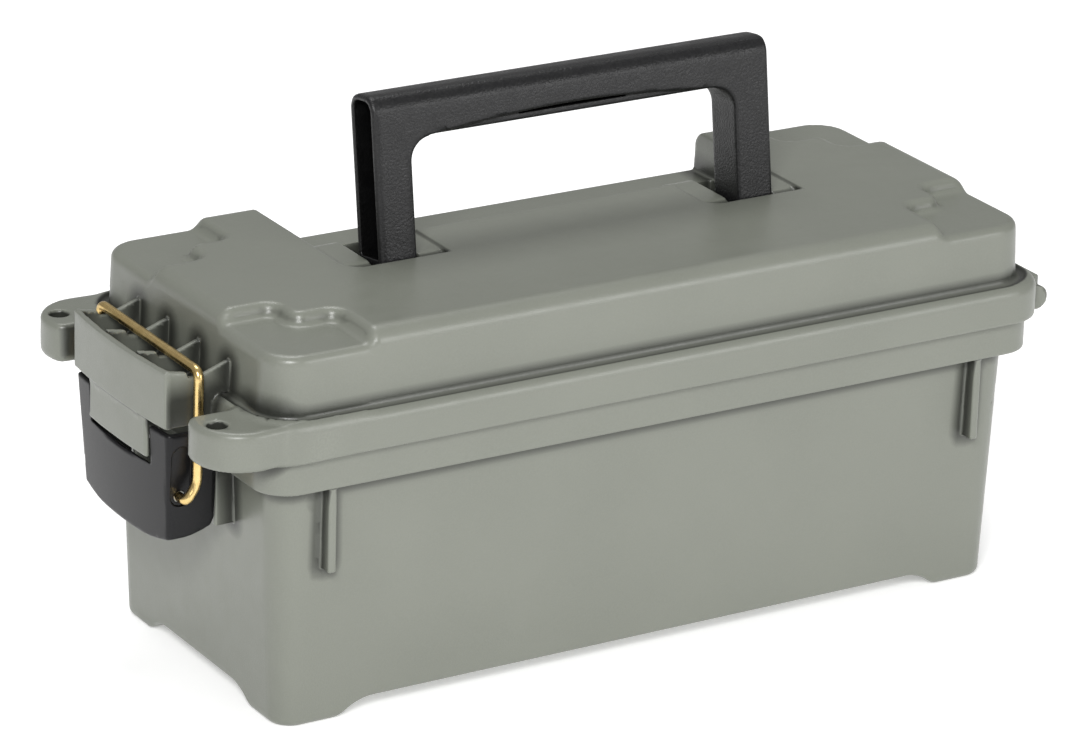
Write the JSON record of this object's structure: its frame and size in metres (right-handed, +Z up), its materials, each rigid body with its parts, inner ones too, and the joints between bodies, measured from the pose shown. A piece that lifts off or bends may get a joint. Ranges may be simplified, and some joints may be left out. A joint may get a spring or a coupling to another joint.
{
  "type": "lidded field box",
  "caption": "Long hard plastic field box with a tapered tub, end-hinged domed lid, swing carry handle and wire-bail latch.",
  "frame": {"origin": "on the ground, below the centre of the overall size, feet at z = 0", "axes": "+Z up, +X from the latch end to the hinge end, -Y the front long side that the handle leans away from"},
  "size_m": [0.3496, 0.144, 0.1984],
  "materials": {
    "olive_plastic": "fine-grained moulded satin",
    "black_plastic": "pebbled moulded satin",
    "seal_rubber": "matte",
    "pin_steel": "drawn wire",
    "bail_brass": "polished wire"
  },
  "bodies": {
    "base": {"base_shell": "olive_plastic", "hinge_pin": "pin_steel", "latch_pin": "pin_steel"},
    "lid": {"lid_shell": "olive_plastic", "lid_gasket": "seal_rubber"},
    "handle": {"carry_handle": "black_plastic"},
    "lever": {"latch_lever": "black_plastic"},
    "bail": {"wire_bail": "bail_brass"}
  },
  "joints": [
    {"name": "lid_hinge", "type": "hinge", "parent": "base", "child": "lid", "pos_m": [0.17025, 0, 0.103], "axis": [0, 1, 0], "range_deg": [0, 110]},
    {"name": "handle_pivot", "type": "hinge", "parent": "lid", "child": "handle", "pos_m": [0.00475, -0.0004, 0.13], "axis": [-1, 0, 0], "range_deg": [0, 75]},
    {"name": "latch_pivot", "type": "hinge", "parent": "base", "child": "lever", "pos_m": [-0.16675, 0, 0.097], "axis": [0, 1, 0], "range_deg": [0, 68]},
    {"name": "bail_pivot", "type": "hinge", "parent": "lever", "child": "bail", "pos_m": [-0.16575, 0, 0.0805], "axis": [0, 1, 0], "range_deg": [-68, 0]}
  ],
  "couplings": [
    {"joint": "bail_pivot", "follows": "latch_pivot", "ratio": -1}
  ]
}
